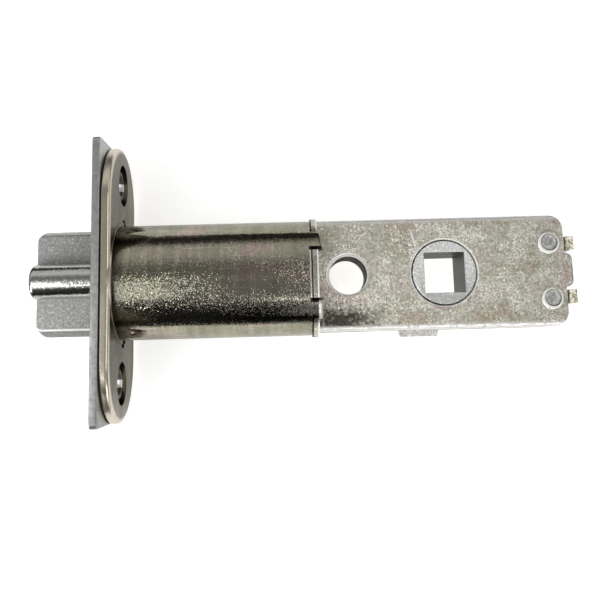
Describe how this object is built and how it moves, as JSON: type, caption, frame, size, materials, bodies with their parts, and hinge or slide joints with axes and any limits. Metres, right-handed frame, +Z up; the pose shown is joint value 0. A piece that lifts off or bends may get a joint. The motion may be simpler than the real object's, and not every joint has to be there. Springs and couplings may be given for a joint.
{
  "type": "deadlatch",
  "caption": "Tubular deadlatch for a door: bevelled bolt with a deadlatch plunger beside it, plated barrel, flat riveted case and a square-holed spindle hub",
  "frame": {"origin": "centre of the faceplate's front face, on the bolt's axis", "axes": "+X goes into the door along the barrel, +Y to the side of the bolt's bevel along the spindle, +Z up the door edge"},
  "size_m": [0.1091, 0.0254, 0.0572],
  "materials": {
    "satin_steel": "satin, lightly rubbed",
    "nickel_plated_steel": "warm nickel plate, semi-bright",
    "zinc_plated_steel": "zinc plate with a faint green and pink passivation, speckled and scratched",
    "plain_steel": "plain turned steel",
    "spring_steel": "drawn wire and strip",
    "cast_zinc": null,
    "polished_steel": "polished"
  },
  "bodies": {
    "lock_case": {"faceplate": "satin_steel", "backplate": "nickel_plated_steel", "barrel": "zinc_plated_steel", "barrel_end_plate": "zinc_plated_steel", "case_body": "zinc_plated_steel", "case_cover": "zinc_plated_steel", "upper_rear_rivet": "plain_steel", "lower_rear_rivet": "plain_steel", "through_sleeve": "plain_steel", "lever_pivot_pin": "plain_steel", "bolt_spring": "spring_steel", "plunger_spring": "spring_steel", "lever_spring": "spring_steel"},
    "bolt": {"latch_bolt": "cast_zinc", "retractor_fork": "cast_zinc", "fork_pin": "plain_steel", "upper_drive_pin": "plain_steel", "lower_drive_pin": "plain_steel"},
    "hub": {"hub": "cast_zinc"},
    "plunger": {"deadlatch_plunger": "polished_steel"},
    "lever": {"deadlock_lever": "plain_steel"}
  },
  "joints": [
    {"name": "bolt_slide", "type": "slide", "parent": "lock_case", "child": "bolt", "axis": [1, 0, 0], "range_m": [0, 0.0127], "stiffness_N_per_m": 300, "springref_m": -0.02, "deforming": ["bolt_spring"]},
    {"name": "hub_turn", "type": "hinge", "parent": "lock_case", "child": "hub", "pos_m": [0.06985, 0, 0], "axis": [0, 1, 0], "range_deg": [0, 79.6]},
    {"name": "plunger_slide", "type": "slide", "parent": "lock_case", "child": "plunger", "axis": [1, 0, 0], "range_m": [0, 0.012], "stiffness_N_per_m": 150, "springref_m": -0.02, "deforming": ["plunger_spring"]},
    {"name": "lever_tilt", "type": "hinge", "parent": "lock_case", "child": "lever", "pos_m": [0.0405, 0, 0.00375], "axis": [0, 1, 0], "range_deg": [0, 4.25], "deforming": ["lever_spring"]}
  ],
  "couplings": [
    {"joint": "hub_turn", "follows": "bolt_slide", "rad_per_m": 109.25},
    {"joint": "lever_tilt", "follows": "plunger_slide", "rad_per_m": 6.15}
  ]
}
